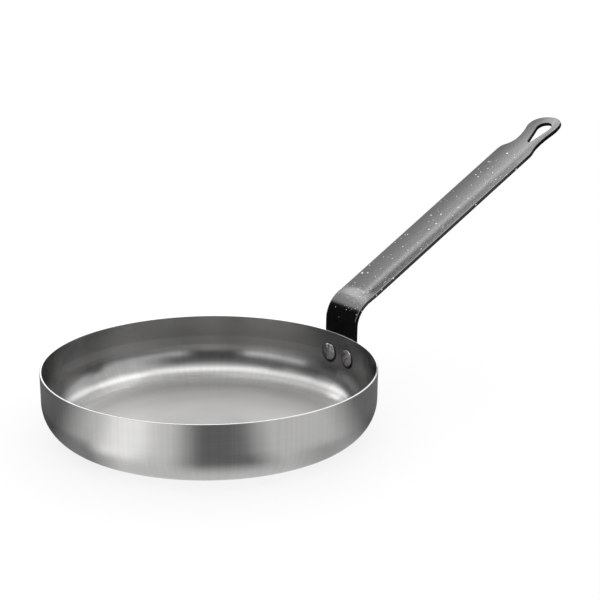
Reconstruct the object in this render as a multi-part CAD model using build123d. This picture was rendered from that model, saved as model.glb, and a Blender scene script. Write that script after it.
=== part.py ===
from build123d import *
import math
import os

# Low steel frying pan with a riveted strip handle, in millimetres.
# Origin: centre of the underside of the base. +Z is up, and the handle leaves towards +X.

# Pan, one sheet
rim_radius = 127.0
pan_height = 51.0
corner_radius = 28.4
sheet_thickness = 1.5
rim_edge_radius = 0.35
wall_draft_deg = 1.2

# Handle strip
strap_width = 35.7
strap_thickness = 3.2
strap_edge_radius = 0.45
foot_below_rivets = 9.2
foot_corner_radius = 8.0
foot_hollow = 0.6
seat_gap = 0.1
bend_rise = 8.4
bend_radius = 23.8
handle_angle_deg = 28.57
grip_hollow = 3.6
blend_length = 12.0
handle_reach = 242.8

# Eye at the end of the handle
eye_radius = 15.3
neck_inset = 2.7
neck_to_eye = 17.5
shoulder_radius = 16.0
neck_radius = 23.0
hole_radius = 6.9
hole_tip_radius = 2.0
hole_length = 26.1
hole_end_wall = 7.7

# Rivets
rivet_spacing = 22.2
rivet_above_corner = 5.8
shank_radius = 3.0
shank_clearance = 0.05
inner_head_radius = 6.9
inner_head_height = 2.4
outer_head_radius = 6.0
outer_head_height = 2.6
head_land = 0.7
head_edge_radius = 1.1

# Every cutting tool runs past what it cuts by this much
overrun = 5.0

# Shares of the blend at which the strip's section is set, and how steep an edge counts as sharp
blend_shares = (0.0, 0.1, 0.2, 0.3, 0.4, 0.5, 0.6, 0.7, 0.8, 0.9, 1.0)
sharp_angle_deg = 40.0

draft = math.radians(wall_draft_deg)
rise_angle = math.radians(handle_angle_deg)
half_width = strap_width / 2
rivet_height = corner_radius + rivet_above_corner


def wall_radius(height):
    """Outside radius of the wall's straight stretch at a height above the base."""
    return rim_radius - (pan_height - height) * math.tan(draft)


def make_pan():
    """The sheet's section, from the axis along the underside and up the wall, turned about Z."""
    corner_x = wall_radius(corner_radius) - corner_radius / math.cos(draft)
    inner_radius = corner_radius - sheet_thickness
    half_turn = math.radians(45) - draft / 2

    def corner_point(radius, angle):
        """A point of the corner arc, with the angle measured up from straight down."""
        return (corner_x + radius * math.sin(angle), corner_radius - radius * math.cos(angle))

    wall_angle = 2 * half_turn
    outer_rim = (rim_radius, pan_height)
    inner_rim = (rim_radius - sheet_thickness / math.cos(draft), pan_height)
    section = make_face([
        Line((0, 0), corner_point(corner_radius, 0)),
        ThreePointArc(*[corner_point(corner_radius, a) for a in (0, half_turn, wall_angle)]),
        Line(corner_point(corner_radius, wall_angle), outer_rim),
        Line(outer_rim, inner_rim),
        Line(inner_rim, corner_point(inner_radius, wall_angle)),
        ThreePointArc(*[corner_point(inner_radius, a) for a in (wall_angle, half_turn, 0)]),
        Line(corner_point(inner_radius, 0), (0, sheet_thickness)),
        Line((0, sheet_thickness), (0, 0)),
    ])
    rim_corners = section.vertices().sort_by(Axis.Y)[-2:]
    section = fillet(rim_corners, rim_edge_radius)
    return revolve(Plane.XZ * section, Axis.Z)


# The line of the strip's two upper edges, in the XZ plane: up the wall, round the bend, out along the grip
foot_up = Vector(math.sin(draft), 0, math.cos(draft))
foot_out = Vector(math.cos(draft), 0, -math.sin(draft))
rim_edge_point = Vector(rim_radius + seat_gap - foot_hollow, 0, pan_height)
bend_start = rim_edge_point + foot_up * bend_rise
bend_centre = bend_start + foot_out * bend_radius
grip_along = Vector(math.cos(rise_angle), 0, math.sin(rise_angle))
grip_up = Vector(-math.sin(rise_angle), 0, math.cos(rise_angle))
grip_start = bend_centre + grip_up * bend_radius
bend_turn_deg = 90 - wall_draft_deg - handle_angle_deg


def section_plane(origin, along):
    """Plane across the strip: local x is across it, local y points out of its upper face."""
    return Plane(origin=origin, x_dir=(0, 1, 0), z_dir=along)


def trough_radius(hollow):
    """Radius of the upper face for a given depth of hollow across the strip's width."""
    return (half_width ** 2 + hollow ** 2) / (2 * hollow)


def strap_section(plane, hollow):
    """Section of the strip, with its upper edges on the plane's x axis."""
    inner = trough_radius(hollow)
    outer = inner + strap_thickness
    centre = inner - hollow
    under_edge = centre - math.sqrt(outer ** 2 - half_width ** 2)
    return plane * make_face([
        ThreePointArc((-half_width, 0), (0, -hollow), (half_width, 0)),
        Line((half_width, 0), (half_width, under_edge)),
        ThreePointArc((half_width, under_edge), (0, centre - outer), (-half_width, under_edge)),
        Line((-half_width, under_edge), (-half_width, 0)),
    ])


def make_foot():
    """Straight stretch on the pan's wall, with its two lower corners rounded."""
    foot_drop = pan_height - rivet_height + foot_below_rivets
    lowest = rim_edge_point - foot_up * foot_drop
    foot = extrude(strap_section(section_plane(lowest, foot_up), foot_hollow), foot_drop + bend_rise)
    bottom = foot.faces().sort_by(Axis.Z)[0]
    corners = bottom.edges().filter_by(GeomType.LINE)
    return fillet(corners, foot_corner_radius)


def make_bend():
    """The turn from upright to the grip's slope."""
    section = strap_section(section_plane(bend_start, foot_up), foot_hollow)
    return revolve(section, Axis(bend_centre, (0, 1, 0)), bend_turn_deg)


def make_blend():
    """The stretch where the strip goes from nearly flat to its full trough."""
    sections = []
    for share in blend_shares:
        eased = share ** 2 * (3 - 2 * share)
        hollow = foot_hollow + (grip_hollow - foot_hollow) * eased
        plane = section_plane(grip_start + grip_along * (blend_length * share), grip_along)
        sections.append(strap_section(plane, hollow))
    return loft(sections)


def grip_outline():
    """The grip, neck and eye seen from above: x runs along the handle from the end of the bend."""
    eye_x = handle_reach - eye_radius
    neck_x = eye_x - neck_to_eye
    neck_half = eye_radius - neck_inset
    sway = shoulder_radius + neck_radius
    sway_angle = math.acos(1 - (half_width - neck_half) / sway)
    shoulder_x = neck_x - sway * math.sin(sway_angle)
    flare = (neck_to_eye ** 2 + neck_half ** 2 - eye_radius ** 2) / (2 * neck_inset)
    flare_angle = math.atan(neck_to_eye / (neck_half + flare))
    sway_deg = math.degrees(sway_angle)
    flare_deg = math.degrees(flare_angle)
    side = [
        Line((blend_length, half_width), (shoulder_x, half_width)),
        CenterArc((shoulder_x, half_width - shoulder_radius), shoulder_radius, 90, -sway_deg),
        CenterArc((neck_x, neck_half + neck_radius), neck_radius, 270 - sway_deg, sway_deg),
        CenterArc((neck_x, neck_half + flare), flare, 270, flare_deg),
        CenterArc((eye_x, 0), eye_radius, 90 + flare_deg, -90 - flare_deg),
    ]
    start = Line((blend_length, -half_width), (blend_length, half_width))
    return make_face([start] + side + [mirror(edge, Plane.XZ) for edge in side])


def hole_outline():
    """Teardrop hanging hole: a large arc at the far end and a small one at its tip."""
    far_x = handle_reach - hole_end_wall - hole_radius
    tip_x = handle_reach - hole_end_wall - hole_length + hole_tip_radius
    lean = math.asin((hole_radius - hole_tip_radius) / (far_x - tip_x))
    lean_deg = math.degrees(lean)
    far_side = Vector(far_x - hole_radius * math.sin(lean), hole_radius * math.cos(lean))
    tip_side = Vector(tip_x - hole_tip_radius * math.sin(lean), hole_tip_radius * math.cos(lean))
    flank = Line(tip_side, far_side)
    return make_face([
        CenterArc((far_x, 0), hole_radius, -90 - lean_deg, 180 + 2 * lean_deg),
        CenterArc((tip_x, 0), hole_tip_radius, 90 + lean_deg, 180 - 2 * lean_deg),
        flank,
        mirror(flank, Plane.XZ),
    ])


def make_grip():
    """The trough, cut to the outline of grip, neck and eye."""
    inner = trough_radius(grip_hollow)
    outer = inner + strap_thickness
    centre = inner - grip_hollow
    across = section_plane(grip_start + grip_along * blend_length, grip_along)
    ring = across * (Pos(0, centre) * (Circle(outer) - Circle(inner)))
    trough = extrude(ring, handle_reach - blend_length + overrun)
    depth = grip_hollow + strap_thickness + overrun
    from_above = Plane(origin=grip_start - grip_up * depth, x_dir=grip_along, z_dir=grip_up)
    blank = extrude(from_above * (grip_outline() - hole_outline()), depth + overrun)
    return trough & blank


def is_sharp(edge, solid):
    """True where the two faces that meet at an edge turn by more than the sharp angle."""
    middle = edge.position_at(0.5)
    sides = [face for face in solid.faces() if any(edge.is_same(other) for other in face.edges())]
    normals = [face.normal_at(middle) for face in sides]
    return len(normals) == 2 and normals[0].get_angle(normals[1]) > sharp_angle_deg


def make_strap():
    strap = make_foot() + make_bend() + make_blend() + make_grip()
    strap = strap.solid()
    edges = [e for e in strap.edges() if is_sharp(e, strap)]
    return fillet(edges, strap_edge_radius)


# Rivet places: on the wall's outside, each with its axis square to the wall
rivet_azimuth = math.asin(rivet_spacing / 2 / wall_radius(rivet_height))


def rivet_plane(side):
    azimuth = side * rivet_azimuth
    radius = wall_radius(rivet_height)
    seat = Vector(radius * math.cos(azimuth), radius * math.sin(azimuth), rivet_height)
    out = Vector(math.cos(draft) * math.cos(azimuth), math.cos(draft) * math.sin(azimuth), -math.sin(draft))
    return Plane(origin=seat, z_dir=out)


def rivet_bore(side):
    """Hole through wall and strip."""
    length = sheet_thickness + strap_thickness + 2 * overrun
    bore = Cylinder(shank_radius + shank_clearance, length)
    middle = (strap_thickness - sheet_thickness) / 2
    return rivet_plane(side) * (Pos(0, 0, middle) * bore)


def head(radius, height, start):
    """Button head standing on z = 0, with its blank reaching back to start inside what it seats on."""
    crown = (radius ** 2 + (height - head_land) ** 2) / (2 * (height - head_land))
    lean = math.asin(radius / crown) / 2
    crown_mid = (crown * math.sin(lean), height - crown * (1 - math.cos(lean)))
    profile = make_face([
        Line((0, start), (radius, start)),
        Line((radius, start), (radius, head_land)),
        ThreePointArc((radius, head_land), crown_mid, (0, height)),
        Line((0, height), (0, start)),
    ])
    shoulder = profile.vertices().sort_by_distance((radius, head_land))[0]
    profile = fillet(shoulder, head_edge_radius)
    return revolve(Plane.XZ * profile, Axis.Z)


def make_rivet(side, pan, strap):
    """Shank with a head inside the pan and one on the strip, each shaped to what it is driven against."""
    seat = rivet_plane(side)
    outer_seat = seat_gap + strap_thickness
    inner = Pos(0, 0, -sheet_thickness) * Rot(180, 0, 0) * head(inner_head_radius, inner_head_height,
                                                                -sheet_thickness / 2)
    outer = Pos(0, 0, outer_seat) * head(outer_head_radius, outer_head_height, -strap_thickness / 2)
    bottom = -sheet_thickness - inner_head_height / 2
    top = outer_seat + outer_head_height / 2
    shank = Pos(0, 0, (bottom + top) / 2) * Cylinder(shank_radius, top - bottom)
    return seat * shank + (seat * inner - pan) + (seat * outer - strap)


pan_blank = make_pan()
strap_blank = make_strap()
nodes = {
    "pan_body": pan_blank - [rivet_bore(1), rivet_bore(-1)],
    "handle": strap_blank - [rivet_bore(1), rivet_bore(-1)],
    "rivet_left": make_rivet(1, pan_blank, strap_blank),
    "rivet_right": make_rivet(-1, pan_blank, strap_blank),
}

os.makedirs("parts", exist_ok=True)
for name, shape in nodes.items():
    export_step(shape, f"parts/{name}.step")
    box = shape.bounding_box()
    print(name, len(shape.solids()), "solid,", round(shape.volume), "mm3,", box.min, box.max)
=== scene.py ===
import math

import bmesh
import bpy
from mathutils import Euler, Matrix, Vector, noise


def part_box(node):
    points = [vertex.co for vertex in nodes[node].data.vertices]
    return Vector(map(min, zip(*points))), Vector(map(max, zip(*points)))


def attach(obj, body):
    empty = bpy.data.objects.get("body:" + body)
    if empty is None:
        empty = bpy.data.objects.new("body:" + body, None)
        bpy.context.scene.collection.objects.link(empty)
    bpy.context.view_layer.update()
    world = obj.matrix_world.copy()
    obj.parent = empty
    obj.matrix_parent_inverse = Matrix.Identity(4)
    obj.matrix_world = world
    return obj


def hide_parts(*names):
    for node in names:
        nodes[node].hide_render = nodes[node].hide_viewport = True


# Low spun steel pan with a riveted, enamelled strip handle, in metres.
# The CAD gives every shape. This script gives finishes, hammered rivet heads, light and camera.
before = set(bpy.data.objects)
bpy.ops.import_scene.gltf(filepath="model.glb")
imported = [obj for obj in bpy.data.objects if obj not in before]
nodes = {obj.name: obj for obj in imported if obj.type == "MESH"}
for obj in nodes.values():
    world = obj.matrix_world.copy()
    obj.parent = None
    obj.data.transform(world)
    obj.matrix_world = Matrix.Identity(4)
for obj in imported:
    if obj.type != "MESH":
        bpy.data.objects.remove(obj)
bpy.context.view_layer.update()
rim_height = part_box("pan_body")[1].z
handle_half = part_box("handle")[1].y

# Camera: a long lens, seen over the rim's centre
view_azimuth_deg = 35.8
view_elevation_deg = 18.798
view_distance = 1.7297
aim_right_deg = 2.387
aim_down_deg = 17.162
lens_mm = 138.0
view_end = 100

# Steel: grey, with lines from turning that spread a reflection across them
steel_tone = (0.51, 0.507, 0.502)
steel_roughness = 0.30
inside_roughness = 0.21
side_faces = (-0.05, 0.05)
line_spread = 0.75
across_lines = 0.25
line_spacing = 0.0005
line_swing = 0.025
band_spacing = 0.0040
band_swing = 0.015
streak_count = 42.0
streak_strength = 0.32
base_streaks = 0.25
roughness_swing = 0.012
steel_clouds = {"Clouds": 45.0, "Strength": 0.05, "Grain": 2500.0}
steel_bump = 0.08
steel_relief = 0.0002
line_share = 0.7

# The cut rim is bare and smoother
rim_tone = (0.62, 0.617, 0.61)
rim_band = 0.0004
rim_polish = 0.1

# The inside wall keeps a darker skin, which fades in the bend where faces turn up
inside_tone = 0.75
inside_faces = (-0.45, -0.97)
skin_edge = 0.0346
skin_line = 0.0004
skin_step = 1.2
skin_faces = (-0.74, -0.92)

# The base is brighter and rougher than the wall, and worn darker in the middle
base_tone = 1.27
worn_tone = 0.66
worn_radius = 0.028
base_radius = 0.082
bend_start = 0.096
bend_radius = 0.112
base_roughness = 0.44
base_spread = 0.30
base_edge = 0.114
base_edge_width = 0.010

# A painted highlight: a bright ring round the inside where the wall turns up from the base
ring_highlight_radius = 0.1169
ring_highlight_width = 0.0030
ring_highlight_tone = 1.58

# Painted shade round each rivet's head, shifted below and to the side that light misses
shade_shift = Vector((0, -0.0005, -0.0006))
shade_width = 0.0018
shade_tone = 0.05

# Enamel: near black and half gloss
enamel_tone = (0.0028, 0.0028, 0.0032)
enamel_roughness = 0.22
enamel_swing = 0.05
enamel_ior = 2.3
enamel_clouds = {"Clouds": 70.0, "Strength": 0.25, "Grain": 2200.0}
enamel_bump = 0.2
enamel_relief = 0.0003

# White specks, thrown on before firing: few on the foot and none on the eye
speck_tone = (0.80, 0.80, 0.78)
speck_height = 0.8
large_specks = {"Cell": 0.0054, "Radius": 0.00095}
small_specks = {"Cell": 0.0029, "Radius": 0.00052}
small_share = 0.65
speck_smallest = 0.35
speck_rim = (0.75, 1.05)
speck_wobble = 0.0007
wobble_scale = 900.0
specks_by_bend = (0.150, 0.200)
specks_by_eye = (0.305, 0.325)
specks_by_foot = (0.066, 0.076)
foot_specks = 0.06

# Painted highlight along the strip's upper edges
edge_highlight_tone = (0.25, 0.25, 0.25)
edge_highlight_share = 0.8
edge_highlight_width = 0.0009
upward_faces = 0.25

# Dull enamel on the foot, and on the cut edges of neck and eye
dull_ior = 1.2
foot_top = 0.0745
foot_fade = 0.0025
grip_slope_deg = 28.57
cut_faces = 0.5
eye_start = 0.295
eye_fade = 0.02

# Hammered rivet heads
rivet_tone = (0.42, 0.415, 0.41)
rivet_clouds = {"Clouds": 420.0, "Strength": 1.3, "Grain": 5000.0}
# Upward faces of the heads get a painted highlight
rivet_lit_faces = (0.35, 0.75)
rivet_highlight_tone = 1.7
rivet_roughness = 0.36
rivet_swing = 0.06
rivet_bump = 0.25
rivet_relief = 0.0002
rivet_voxel = 0.00022
hammer_size = 0.0024
hammer_depth = 0.00042
hammer_level = 0.5
hammer_contrast = 1.3

# Light: radiance of what the steel sees, with a plain white as 1
white_level = 1.0
fill_level = 0.92
dark_level = 0.03
card_level = 1.6
white = (1, 1, 1, 1)

# Floor, lamps, flags and mats
floor_radius = 20.0
paper_tone = (0.94, 0.94, 0.94, 1)
floor_glow = 0.82
kit_distance = 5.0
flag_distance = 6.0
mat_edge = 0.02
mat_lift = 0.0003


def make_camera():
    azimuth = math.radians(view_azimuth_deg)
    elevation = math.radians(view_elevation_deg)
    towards = Vector((-math.sin(azimuth) * math.cos(elevation),
                      -math.cos(azimuth) * math.cos(elevation),
                      math.sin(elevation)))
    data = bpy.data.cameras.new("camera")
    data.lens = lens_mm
    data.clip_end = view_end
    camera = bpy.data.objects.new("camera", data)
    camera.location = Vector((0, 0, rim_height)) + towards * view_distance
    heading = -math.radians(view_azimuth_deg + aim_right_deg)
    camera.rotation_euler = Euler((math.radians(90 - aim_down_deg), 0, heading))
    bpy.context.scene.collection.objects.link(camera)
    bpy.context.scene.camera = camera


class Shader:
    """A node tree with short calls to add nodes and link them."""

    def __init__(self, tree):
        self.tree = tree

    def add(self, kind, settings=None, **inputs):
        """A node with its settings, and its inputs given as values or as other nodes' sockets."""
        node = self.tree.nodes.new(kind)
        for name, value in (settings or {}).items():
            setattr(node, name, value)
        for name, value in inputs.items():
            key = int(name[1:]) if name[1:].isdigit() else name.replace("_", " ")
            self.put(node.inputs[key], value)
        return node

    def put(self, socket, value):
        if isinstance(value, bpy.types.NodeSocket):
            self.tree.links.new(value, socket)
        elif socket.type == "RGBA" and len(value) == 3:
            socket.default_value = (*value, 1)
        else:
            socket.default_value = value

    def math(self, operation, *values):
        inputs = {f"i{n}": value for n, value in enumerate(values)}
        return self.add("ShaderNodeMath", {"operation": operation}, **inputs).outputs[0]

    def vector(self, operation, *values):
        inputs = {f"i{n}": value for n, value in enumerate(values)}
        return self.add("ShaderNodeVectorMath", {"operation": operation}, **inputs)

    def parts(self, vector):
        """The X, Y and Z of a vector."""
        return self.add("ShaderNodeSeparateXYZ", Vector=vector).outputs

    def joined(self, x, y, z):
        """A vector of X, Y and Z."""
        return self.add("ShaderNodeCombineXYZ", X=x, Y=y, Z=z).outputs[0]

    def span(self, value, low, high, to_low=0.0, to_high=1.0, smooth=False):
        """Maps low..high to to_low..to_high."""
        settings = {"interpolation_type": "SMOOTHSTEP"} if smooth else {}
        node = self.add("ShaderNodeMapRange", settings, Value=value, From_Min=low, From_Max=high,
                        To_Min=to_low, To_Max=to_high)
        return node.outputs[0]

    def swing(self, value, amount, middle=0.0, reach=0.2):
        """Maps a noise's usual reach, about 0.5, to an amount below and above the middle."""
        return self.span(value, 0.5 - reach, 0.5 + reach, middle - amount, middle + amount)

    def noise(self, vector, scale, detail=2.0, roughness=0.5):
        node = self.add("ShaderNodeTexNoise", Vector=vector, Scale=scale, Detail=detail,
                        Roughness=roughness)
        return node.outputs["Fac"]

    def blend(self, kind, share, a, b):
        """Mixes two colours."""
        node = self.add("ShaderNodeMix", {"data_type": "RGBA", "blend_type": kind})
        self.put(node.inputs[0], share)
        self.put(node.inputs[6], a)
        self.put(node.inputs[7], b)
        return node.outputs[2]

    def tint(self, colour, factor):
        """Multiplies a colour by a number that changes over the surface."""
        return self.blend("MULTIPLY", 1.0, colour, self.joined(factor, factor, factor))

    def bump(self, height, strength, relief):
        node = self.add("ShaderNodeBump", Height=height, Strength=strength, Distance=relief)
        return node.outputs[0]

    def group(self, tree, **inputs):
        return self.add("ShaderNodeGroup", {"node_tree": tree}, **inputs).outputs


def new_material(name):
    material = bpy.data.materials.new(name)
    material.use_nodes = True
    tree = material.node_tree
    tree.nodes.clear()
    shader = Shader(tree)
    output = tree.nodes.new("ShaderNodeOutputMaterial")
    return material, shader, output


def new_group(name, inputs, outputs):
    """An empty shader node group, with its inputs as {name: (kind, default)}."""
    tree = bpy.data.node_groups.new(name, "ShaderNodeTree")
    for label, (kind, value) in inputs.items():
        socket = tree.interface.new_socket(name=label, in_out="INPUT", socket_type=kind)
        if value is not None:
            socket.default_value = value
    for label in outputs:
        tree.interface.new_socket(name=label, in_out="OUTPUT", socket_type="NodeSocketFloat")
    shader = Shader(tree)
    given = tree.nodes.new("NodeGroupInput").outputs
    return tree, shader, given, tree.nodes.new("NodeGroupOutput")


def mottle_group():
    """Soft clouds of tone, about 1, and a fine grain from 0 to 1."""
    tree, s, given, result = new_group(
        "mottle",
        {"Place": ("NodeSocketVector", None), "Clouds": ("NodeSocketFloat", 60.0),
         "Strength": ("NodeSocketFloat", 0.1), "Grain": ("NodeSocketFloat", 2500.0)},
        ["Tone", "Grain"])
    clouds = s.noise(given["Place"], given["Clouds"], detail=4.0, roughness=0.6)
    centred = s.math("MULTIPLY", s.math("SUBTRACT", clouds, 0.5), given["Strength"])
    s.put(result.inputs["Tone"], s.math("MULTIPLY_ADD", centred, 2.0, 1.0))
    s.put(result.inputs["Grain"], s.noise(given["Place"], given["Grain"], detail=3.0))
    return tree


def specks_group():
    """White specks of enamel, one per cell at most, and each of its own size."""
    tree, s, given, result = new_group(
        "specks",
        {"Place": ("NodeSocketVector", None), "Cell": ("NodeSocketFloat", 0.0062),
         "Radius": ("NodeSocketFloat", 0.0008), "Share": ("NodeSocketFloat", 1.0)},
        ["Mask"])
    scale = s.math("DIVIDE", 1.0, given["Cell"])
    warp = s.add("ShaderNodeTexNoise", Vector=given["Place"], Scale=wobble_scale, Detail=1.0)
    off_middle = s.vector("SUBTRACT", warp.outputs["Color"], (0.5, 0.5, 0.5)).outputs[0]
    shift = s.vector("SCALE", off_middle)
    shift.inputs["Scale"].default_value = speck_wobble
    place = s.vector("ADD", given["Place"], shift.outputs[0]).outputs[0]
    cells = s.add("ShaderNodeTexVoronoi", {"feature": "F1"}, Vector=place, Scale=scale)
    chance = s.add("ShaderNodeSeparateColor", Color=cells.outputs["Color"]).outputs
    size = s.span(chance[0], 0.0, 1.0, speck_smallest, 1.0)
    radius = s.math("MULTIPLY", given["Radius"], size)
    from_middle = s.math("MULTIPLY", cells.outputs["Distance"], given["Cell"])
    inside = s.span(s.math("DIVIDE", from_middle, radius), *speck_rim, 1.0, 0.0, smooth=True)
    kept = s.math("LESS_THAN", chance[1], given["Share"])
    s.put(result.inputs["Mask"], s.math("MULTIPLY", inside, kept))
    return tree


mottle = mottle_group()
specks = specks_group()


def painted_shade_round(s, node_name, x, y, z):
    """Painted shade in the gap round a rivet's head, below and to the side that light misses."""
    low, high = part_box(node_name)
    centre = (low + high) / 2 + shade_shift
    offset = s.joined(0.0, s.math("SUBTRACT", y, centre.y), s.math("SUBTRACT", z, centre.z))
    away = s.vector("LENGTH", offset).outputs["Value"]
    head_radius = (high.z - low.z) / 2
    ring = s.span(away, head_radius, head_radius + shade_width, shade_tone, 1.0, smooth=True)
    near = s.math("GREATER_THAN", x, low.x - shade_width)
    return s.math("MAXIMUM", ring, s.math("SUBTRACT", 1.0, near))


def skin_tone(s, outward, radius, z):
    """Tone of the steel's skin: dark on the inside wall, bright on the base, with a painted
    highlight ring between.
    """
    wall = s.span(outward, *inside_faces, 1.0, inside_tone, smooth=True)
    bare = s.span(z, skin_edge - skin_line, skin_edge, skin_step, 1.0)
    up_bend = s.span(outward, *skin_faces, 0.0, 1.0, smooth=True)
    bare = s.math("MULTIPLY_ADD", s.math("SUBTRACT", bare, 1.0), up_bend, 1.0)
    # A painted highlight ring on the inside, at the foot of the wall
    off_ring = s.math("ABSOLUTE", s.math("SUBTRACT", radius, ring_highlight_radius))
    painted_ring = s.span(off_ring, 0.0, ring_highlight_width, ring_highlight_tone, 1.0, smooth=True)
    inside = s.math("LESS_THAN", outward, 0.0)
    painted_ring = s.math("MULTIPLY_ADD", s.math("SUBTRACT", painted_ring, 1.0), inside, 1.0)
    wear_and_highlight = s.span(radius, worn_radius, base_radius, worn_tone, 1.0)
    base = s.span(radius, bend_start, bend_radius, base_tone, 1.0)
    tone = wall
    for step in (bare, painted_ring, wear_and_highlight, base):
        tone = s.math("MULTIPLY", tone, step)
    return tone


def spun_steel():
    """Steel with turned lines round the axis, faint streaks down the wall and a bare rim."""
    material, s, output = new_material("spun_steel")
    coordinates = s.add("ShaderNodeTexCoord")
    place = coordinates.outputs["Object"]
    x, y, z = s.parts(place)
    flat = s.joined(x, y, 0.0)
    radius = s.vector("LENGTH", flat).outputs["Value"]
    around = s.vector("NORMALIZE", flat).outputs[0]
    across = s.math("ADD", radius, z)
    outward = s.vector("DOT_PRODUCT", coordinates.outputs["Normal"], around).outputs["Value"]

    def lines(spacing, turns, detail):
        """Noise that is drawn out along the turning, with spacing in metres."""
        along = s.vector("MULTIPLY", around, (turns, turns, 0.0)).outputs[0]
        up = s.joined(0.0, 0.0, s.math("DIVIDE", across, spacing))
        return s.noise(s.vector("ADD", along, up).outputs[0], 1.0, detail=detail)

    fine = lines(line_spacing, turns=3.0, detail=2.0)
    bands = lines(band_spacing, turns=1.2, detail=3.0)
    streaks = s.noise(around, streak_count, detail=4.0, roughness=0.7)
    cloud = s.group(mottle, Place=place, **steel_clouds)
    down_wall = s.span(radius, base_radius, bend_radius, base_streaks, 1.0)
    streak = s.math("MULTIPLY", s.math("SUBTRACT", streaks, 0.5), down_wall)
    tone = s.swing(fine, line_swing, 1.0, reach=0.25)
    for step in (s.swing(bands, band_swing, 1.0),
                 s.math("MULTIPLY_ADD", streak, streak_strength, 1.0),
                 cloud["Tone"],
                 # painted shade round each rivet's head
                 painted_shade_round(s, "rivet_left", x, y, z),
                 painted_shade_round(s, "rivet_right", x, y, z),
                 skin_tone(s, outward, radius, z)):
        tone = s.math("MULTIPLY", tone, step)
    rim = s.span(z, rim_height - rim_band, rim_height - rim_band / 2, 0.0, 1.0, smooth=True)
    colour = s.blend("MIX", rim, s.tint(steel_tone, tone), rim_tone)

    height = s.math("ADD", s.math("MULTIPLY", fine, line_share),
                    s.math("MULTIPLY", cloud["Grain"], 1 - line_share))
    bump = s.bump(height, steel_bump, steel_relief)
    tangent = s.add("ShaderNodeTangent", {"direction_type": "RADIAL", "axis": "Z"}).outputs[0]
    uneven = s.math("ADD", s.swing(bands, roughness_swing), s.swing(streaks, roughness_swing))
    sides = s.span(outward, *side_faces, inside_roughness, steel_roughness)
    sides = s.math("MULTIPLY_ADD", rim, -rim_polish, sides)
    wall = s.add("ShaderNodeBsdfPrincipled", Base_Color=colour, Metallic=1.0,
                 Roughness=s.math("ADD", uneven, sides), Anisotropic=line_spread,
                 Anisotropic_Rotation=across_lines, Normal=bump, Tangent=tangent)
    base = s.add("ShaderNodeBsdfPrincipled", Base_Color=colour, Metallic=1.0,
                 Roughness=s.math("ADD", uneven, base_roughness), Anisotropic=base_spread,
                 Anisotropic_Rotation=across_lines, Normal=bump, Tangent=tangent)
    on_base = s.span(radius, base_edge - base_edge_width, base_edge, 1.0, 0.0, smooth=True)
    steel = s.add("ShaderNodeMixShader", i0=on_base, i1=wall.outputs[0], i2=base.outputs[0])
    s.put(output.inputs[0], steel.outputs[0])
    return material


def rivet_steel():
    """Rolled steel, mottled where the hammer closed it and dull from handling, with a painted
    highlight on its upward faces.
    """
    material, s, output = new_material("rivet_steel")
    coordinates = s.add("ShaderNodeTexCoord")
    cloud = s.group(mottle, Place=coordinates.outputs["Object"], **rivet_clouds)
    upward = s.parts(coordinates.outputs["Normal"])[2]
    # A painted highlight on the heads' upward faces
    wear_and_highlight = s.span(upward, *rivet_lit_faces, 1.0, rivet_highlight_tone, smooth=True)
    steel = s.add("ShaderNodeBsdfPrincipled", Metallic=1.0,
                  Base_Color=s.tint(rivet_tone, s.math("MULTIPLY", cloud["Tone"], wear_and_highlight)),
                  Roughness=s.swing(cloud["Grain"], rivet_swing, rivet_roughness),
                  Normal=s.bump(cloud["Grain"], rivet_bump, rivet_relief))
    s.put(output.inputs[0], steel.outputs[0])
    return material


def scattered_specks(s, place, x, z):
    """Where white specks lie: large and small ones, and more small ones near the bend."""
    off_eye = s.span(x, *specks_by_eye, 1.0, 0.0)
    above_foot = s.span(z, *specks_by_foot, foot_specks, 1.0, smooth=True)
    share = s.math("MULTIPLY", off_eye, above_foot)
    near_bend = s.span(x, *specks_by_bend, 1.0, 0.0, smooth=True)
    more = s.math("MULTIPLY_ADD", near_bend, 1 - small_share, small_share)
    large = s.group(specks, Place=place, Share=share, **large_specks)["Mask"]
    small = s.group(specks, Place=place, Share=s.math("MULTIPLY", share, more), **small_specks)
    return s.math("MAXIMUM", large, small["Mask"])


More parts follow.
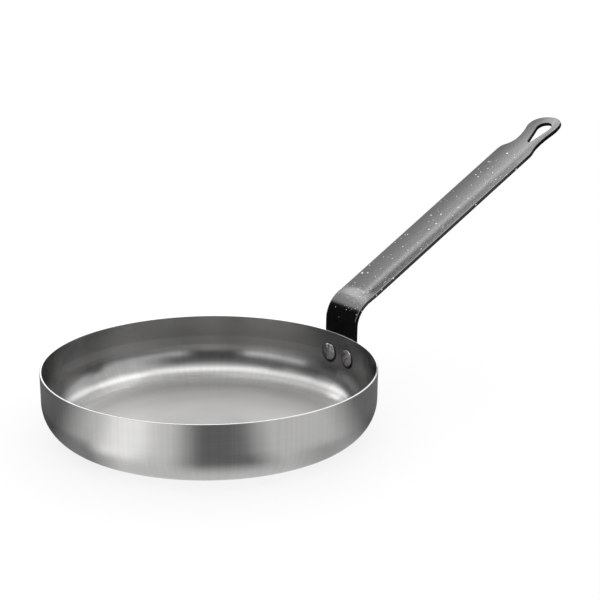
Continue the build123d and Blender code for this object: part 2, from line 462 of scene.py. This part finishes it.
def speckled_enamel():
    """Near-black half-gloss enamel with white specks, a painted highlight along the upper edges,
    and dull on the foot.
    """
    material, s, output = new_material("speckled_enamel")
    coordinates = s.add("ShaderNodeTexCoord")
    place = coordinates.outputs["Object"]
    facing = coordinates.outputs["Normal"]
    x, y, z = s.parts(place)
    specked = scattered_specks(s, place, x, z)
    cloud = s.group(mottle, Place=place, **enamel_clouds)
    from_edge = s.math("SUBTRACT", handle_half, s.math("ABSOLUTE", y))
    # A painted highlight on the upward faces along the strip's edges
    edge = s.span(from_edge, edge_highlight_width / 2, edge_highlight_width, 1.0, 0.0, smooth=True)
    upward = s.math("GREATER_THAN", s.parts(facing)[2], upward_faces)
    edge_highlight = s.math("MULTIPLY", s.math("MULTIPLY", edge, upward), edge_highlight_share)
    colour = s.blend("MIX", edge_highlight, s.tint(enamel_tone, cloud["Tone"]), edge_highlight_tone)
    colour = s.blend("MIX", specked, colour, speck_tone)
    rough = s.swing(cloud["Grain"], enamel_swing, enamel_roughness)
    height = s.math("MULTIPLY_ADD", specked, speck_height, cloud["Grain"])
    bump = s.bump(height, enamel_bump, enamel_relief)
    coat = s.add("ShaderNodeBsdfPrincipled", Base_Color=colour, Roughness=rough, IOR=enamel_ior,
                 Normal=bump)
    dull = s.add("ShaderNodeBsdfPrincipled", Base_Color=colour, Roughness=rough, IOR=dull_ior,
                 Normal=bump)
    on_foot = s.span(z, foot_top - foot_fade, foot_top, 1.0, 0.0, smooth=True)
    slope = math.radians(grip_slope_deg)
    grip_up = (-math.sin(slope), 0, math.cos(slope))
    up = s.vector("DOT_PRODUCT", facing, grip_up).outputs["Value"]
    cut = s.math("LESS_THAN", s.math("ABSOLUTE", up), cut_faces)
    cut = s.math("MULTIPLY", cut, s.span(x, eye_start, eye_start + eye_fade, 0.0, 1.0))
    enamel = s.add("ShaderNodeMixShader", i0=s.math("MAXIMUM", on_foot, cut),
                   i1=coat.outputs[0], i2=dull.outputs[0])
    s.put(output.inputs[0], enamel.outputs[0])
    return material


def set_material(obj, material):
    for slot in obj.material_slots:
        slot.material = material


def hammered_rivet(node_name, material):
    """The CAD rivet as a fine mesh, with shallow dents hammered into its heads."""
    mesh = nodes[node_name].data.copy()
    piece = bpy.data.objects.new("hammered_" + node_name, mesh)
    bpy.context.scene.collection.objects.link(piece)
    fine = piece.modifiers.new("fine", "REMESH")
    fine.mode = "VOXEL"
    fine.voxel_size = rivet_voxel
    fine.use_smooth_shade = True
    bpy.context.view_layer.update()
    remeshed = piece.evaluated_get(bpy.context.evaluated_depsgraph_get())
    finished = bpy.data.meshes.new_from_object(remeshed)
    piece.modifiers.clear()
    piece.data = finished
    bpy.data.meshes.remove(mesh)
    form = bmesh.new()
    form.from_mesh(finished)
    form.normal_update()
    for vertex in form.verts:
        blow = noise.noise(vertex.co / hammer_size, noise_basis="PERLIN_ORIGINAL")
        dent = hammer_depth * min(1.0, max(0.0, hammer_level + hammer_contrast * blow))
        vertex.co -= vertex.normal * dent
    form.to_mesh(finished)
    form.free()
    finished.materials.clear()
    finished.materials.append(material)
    for face in finished.polygons:
        face.use_smooth = True
    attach(piece, "root")
    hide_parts(node_name)


def kit_direction(left_deg, up_deg):
    """A direction from the pan, counted to the camera's left and upwards."""
    azimuth = math.radians(270 - view_azimuth_deg - left_deg)
    elevation = math.radians(up_deg)
    return Vector((math.cos(azimuth) * math.cos(elevation),
                   math.sin(azimuth) * math.cos(elevation),
                   math.sin(elevation)))


def softbox(name, left_deg, up_deg, wide_deg, high_deg, level):
    """A lamp panel that faces the pan. Its level is the white it shows in a mirror."""
    width = 2 * kit_distance * math.tan(math.radians(wide_deg / 2))
    height = 2 * kit_distance * math.tan(math.radians(high_deg / 2))
    data = bpy.data.lights.new(name, "AREA")
    data.shape = "RECTANGLE"
    data.size = width
    data.size_y = height
    data.energy = level * math.pi * width * height
    lamp = bpy.data.objects.new(name, data)
    direction = kit_direction(left_deg, up_deg)
    lamp.location = direction * kit_distance
    lamp.rotation_euler = direction.to_track_quat("Z", "Y").to_euler()
    lamp.visible_camera = False
    bpy.context.scene.collection.objects.link(lamp)


def cloth_material(name, level):
    """A plain cloth that thins out to nothing where its weave attribute falls to 0."""
    material, s, output = new_material(name)
    weave = s.add("ShaderNodeAttribute", {"attribute_name": "weave"}).outputs["Fac"]
    cloth = s.add("ShaderNodeEmission", Color=white, Strength=level)
    gap = s.add("ShaderNodeBsdfTransparent")
    mix = s.add("ShaderNodeMixShader", i0=weave, i1=gap.outputs[0], i2=cloth.outputs[0])
    s.put(output.inputs[0], mix.outputs[0])
    return material


def hang(name, rows, columns, place, material):
    """A cloth of the set, which only reflections show. Place gives a point from row and column."""
    points = [place(row, column) for row, _ in rows for column, _ in columns]
    across = len(columns)
    faces = []
    for i in range(len(rows) - 1):
        for j in range(across - 1):
            corner = i * across + j
            faces.append((corner, corner + 1, corner + across + 1, corner + across))
    mesh = bpy.data.meshes.new(name)
    mesh.from_pydata(points, [], faces)
    weave = mesh.attributes.new("weave", "FLOAT", "POINT")
    weave.data.foreach_set("value", [u * v for _, u in rows for _, v in columns])
    mesh.materials.append(material)
    cloth = bpy.data.objects.new(name, mesh)
    bpy.context.scene.collection.objects.link(cloth)
    cloth.visible_camera = False
    cloth.visible_diffuse = False
    cloth.visible_shadow = False


def thinned(low, high, soft, step=4.0):
    """Places from low to high, a few degrees apart, each with a weave that thins at both ends."""
    corners = [low, low + soft, high - soft, high]
    count = math.ceil((high - low) / step)
    places = sorted(corners + [low + (high - low) * k / count for k in range(1, count)])
    return [(place, min(1.0, (place - low) / soft, (high - place) / soft)) for place in places]


def flag(name, left_degs, up_degs, softs, weave, material):
    """A cloth hung round the pan, from one angle to another. Softs is how far its edges thin."""
    rows = [(up, weave * full) for up, full in thinned(*up_degs, softs[1])]
    hang(name, rows, thinned(*left_degs, softs[0]),
         lambda up, left: kit_direction(left, up) * flag_distance, material)


def mat(name, left_degs, near, far, soft, weave, layer, material):
    """A cloth laid on the floor, from near to far from the pan's axis, at its layer in a pile."""
    rows = [(near, 0.0), (near + mat_edge, weave), (far, weave)]
    lift = Vector((0, 0, mat_lift * layer))
    hang(name, rows, thinned(*left_degs, soft),
         lambda away, left: kit_direction(left, 0) * away + lift, material)


def seen_ray(s):
    """1 for rays from the camera, or by way of metal or glass, else 0."""
    path = s.add("ShaderNodeLightPath")
    seen = s.math("MAXIMUM", path.outputs["Is Camera Ray"], path.outputs["Is Glossy Ray"])
    return s.math("MAXIMUM", seen, path.outputs["Is Transmission Ray"])


def make_floor():
    bpy.ops.mesh.primitive_circle_add(vertices=64, radius=floor_radius, fill_type="NGON")
    floor = bpy.context.object
    floor.name = "floor"
    material, s, output = new_material("floor_paper")
    paper = s.add("ShaderNodeBsdfDiffuse", Color=paper_tone)
    glow = s.add("ShaderNodeEmission", Color=white, Strength=white_level)
    mix = s.add("ShaderNodeMixShader", i0=s.math("MULTIPLY", seen_ray(s), floor_glow),
                i1=paper.outputs[0], i2=glow.outputs[0])
    s.put(output.inputs[0], mix.outputs[0])
    floor.data.materials.append(material)


def make_world():
    world = bpy.data.worlds.new("studio")
    bpy.context.scene.world = world
    world.use_nodes = True
    s = Shader(world.node_tree)
    sky = world.node_tree.nodes["Background"]
    s.put(sky.inputs["Strength"], s.span(seen_ray(s), 0.0, 1.0, fill_level, white_level))
    s.put(sky.inputs["Color"], white)


set_material(nodes["pan_body"], spun_steel())
set_material(nodes["handle"], speckled_enamel())
rivet_finish = rivet_steel()
for node_name in ("rivet_left", "rivet_right"):
    set_material(nodes[node_name], rivet_finish)
    hammered_rivet(node_name, rivet_finish)

make_camera()
make_floor()
make_world()
black = cloth_material("black_cloth", dark_level)
card = cloth_material("bright_card", card_level)

# Lamps: degrees to the camera's left and up, degrees wide and high, level
softbox("back_box", 187, 44, 36, 34, 1.35)
softbox("handle_box", 132, 60, 44, 44, 0.12)
softbox("handle_strip", 153, 38, 18, 7, 1.9)
softbox("right_box", -101, 53, 30, 24, 0.45)
softbox("right_back_box", -124, 32, 20, 16, 0.35)
softbox("top_box", 0, 71, 60, 9, 0.5)
softbox("left_strip", 38, 8, 26, 20, 0.25)
softbox("left_low_box", 92, 12, 44, 22, 0.12)
softbox("right_ring_box", 88, 47, 26, 12, 0.5)
softbox("bend_box", 127, 33, 22, 12, 0.4)
softbox("low_back_strip", 177, 15, 24, 13, 0.9)
softbox("low_right_strip", -166, 8, 24, 12, 0.5)

# Flags: degrees from and to, leftwards and up, how far the edges thin, weave
flag("front_flag", (-58, 121), (17, 57), (30, 10), 0.90, black)
flag("front_low_flag", (-22, 30), (-12, 31), (12, 8), 0.94, black)
flag("left_low_flag", (68, 172), (-12, 29), (10, 4), 0.97, black)
flag("right_scrim", (-178, -20), (-12, 50), (10, 10), 0.18, black)
flag("high_back_scrim", (150, 250), (66, 89), (20, 10), 0.45, black)

# Mats: degrees from and to, near and far from the axis, how far the ends thin, weave, layer
mat("front_mat", (-30, 18), 0.120, 8.0, 14, 0.84, 1, black)
mat("back_mat", (61, 298), 0.105, 8.0, 24, 0.85, 2, black)
mat("left_near_mat", (34, 124), 0.085, 0.165, 16, 0.68, 3, black)
mat("right_near_mat", (238, 330), 0.085, 0.155, 18, 0.4, 4, black)
mat("right_mat", (272, 345), 0.105, 8.0, 12, 0.12, 6, black)
mat("left_card", (24, 56), 0.13, 0.6, 10, 1.0, 5, card)

bpy.context.scene.view_settings.view_transform = "Standard"
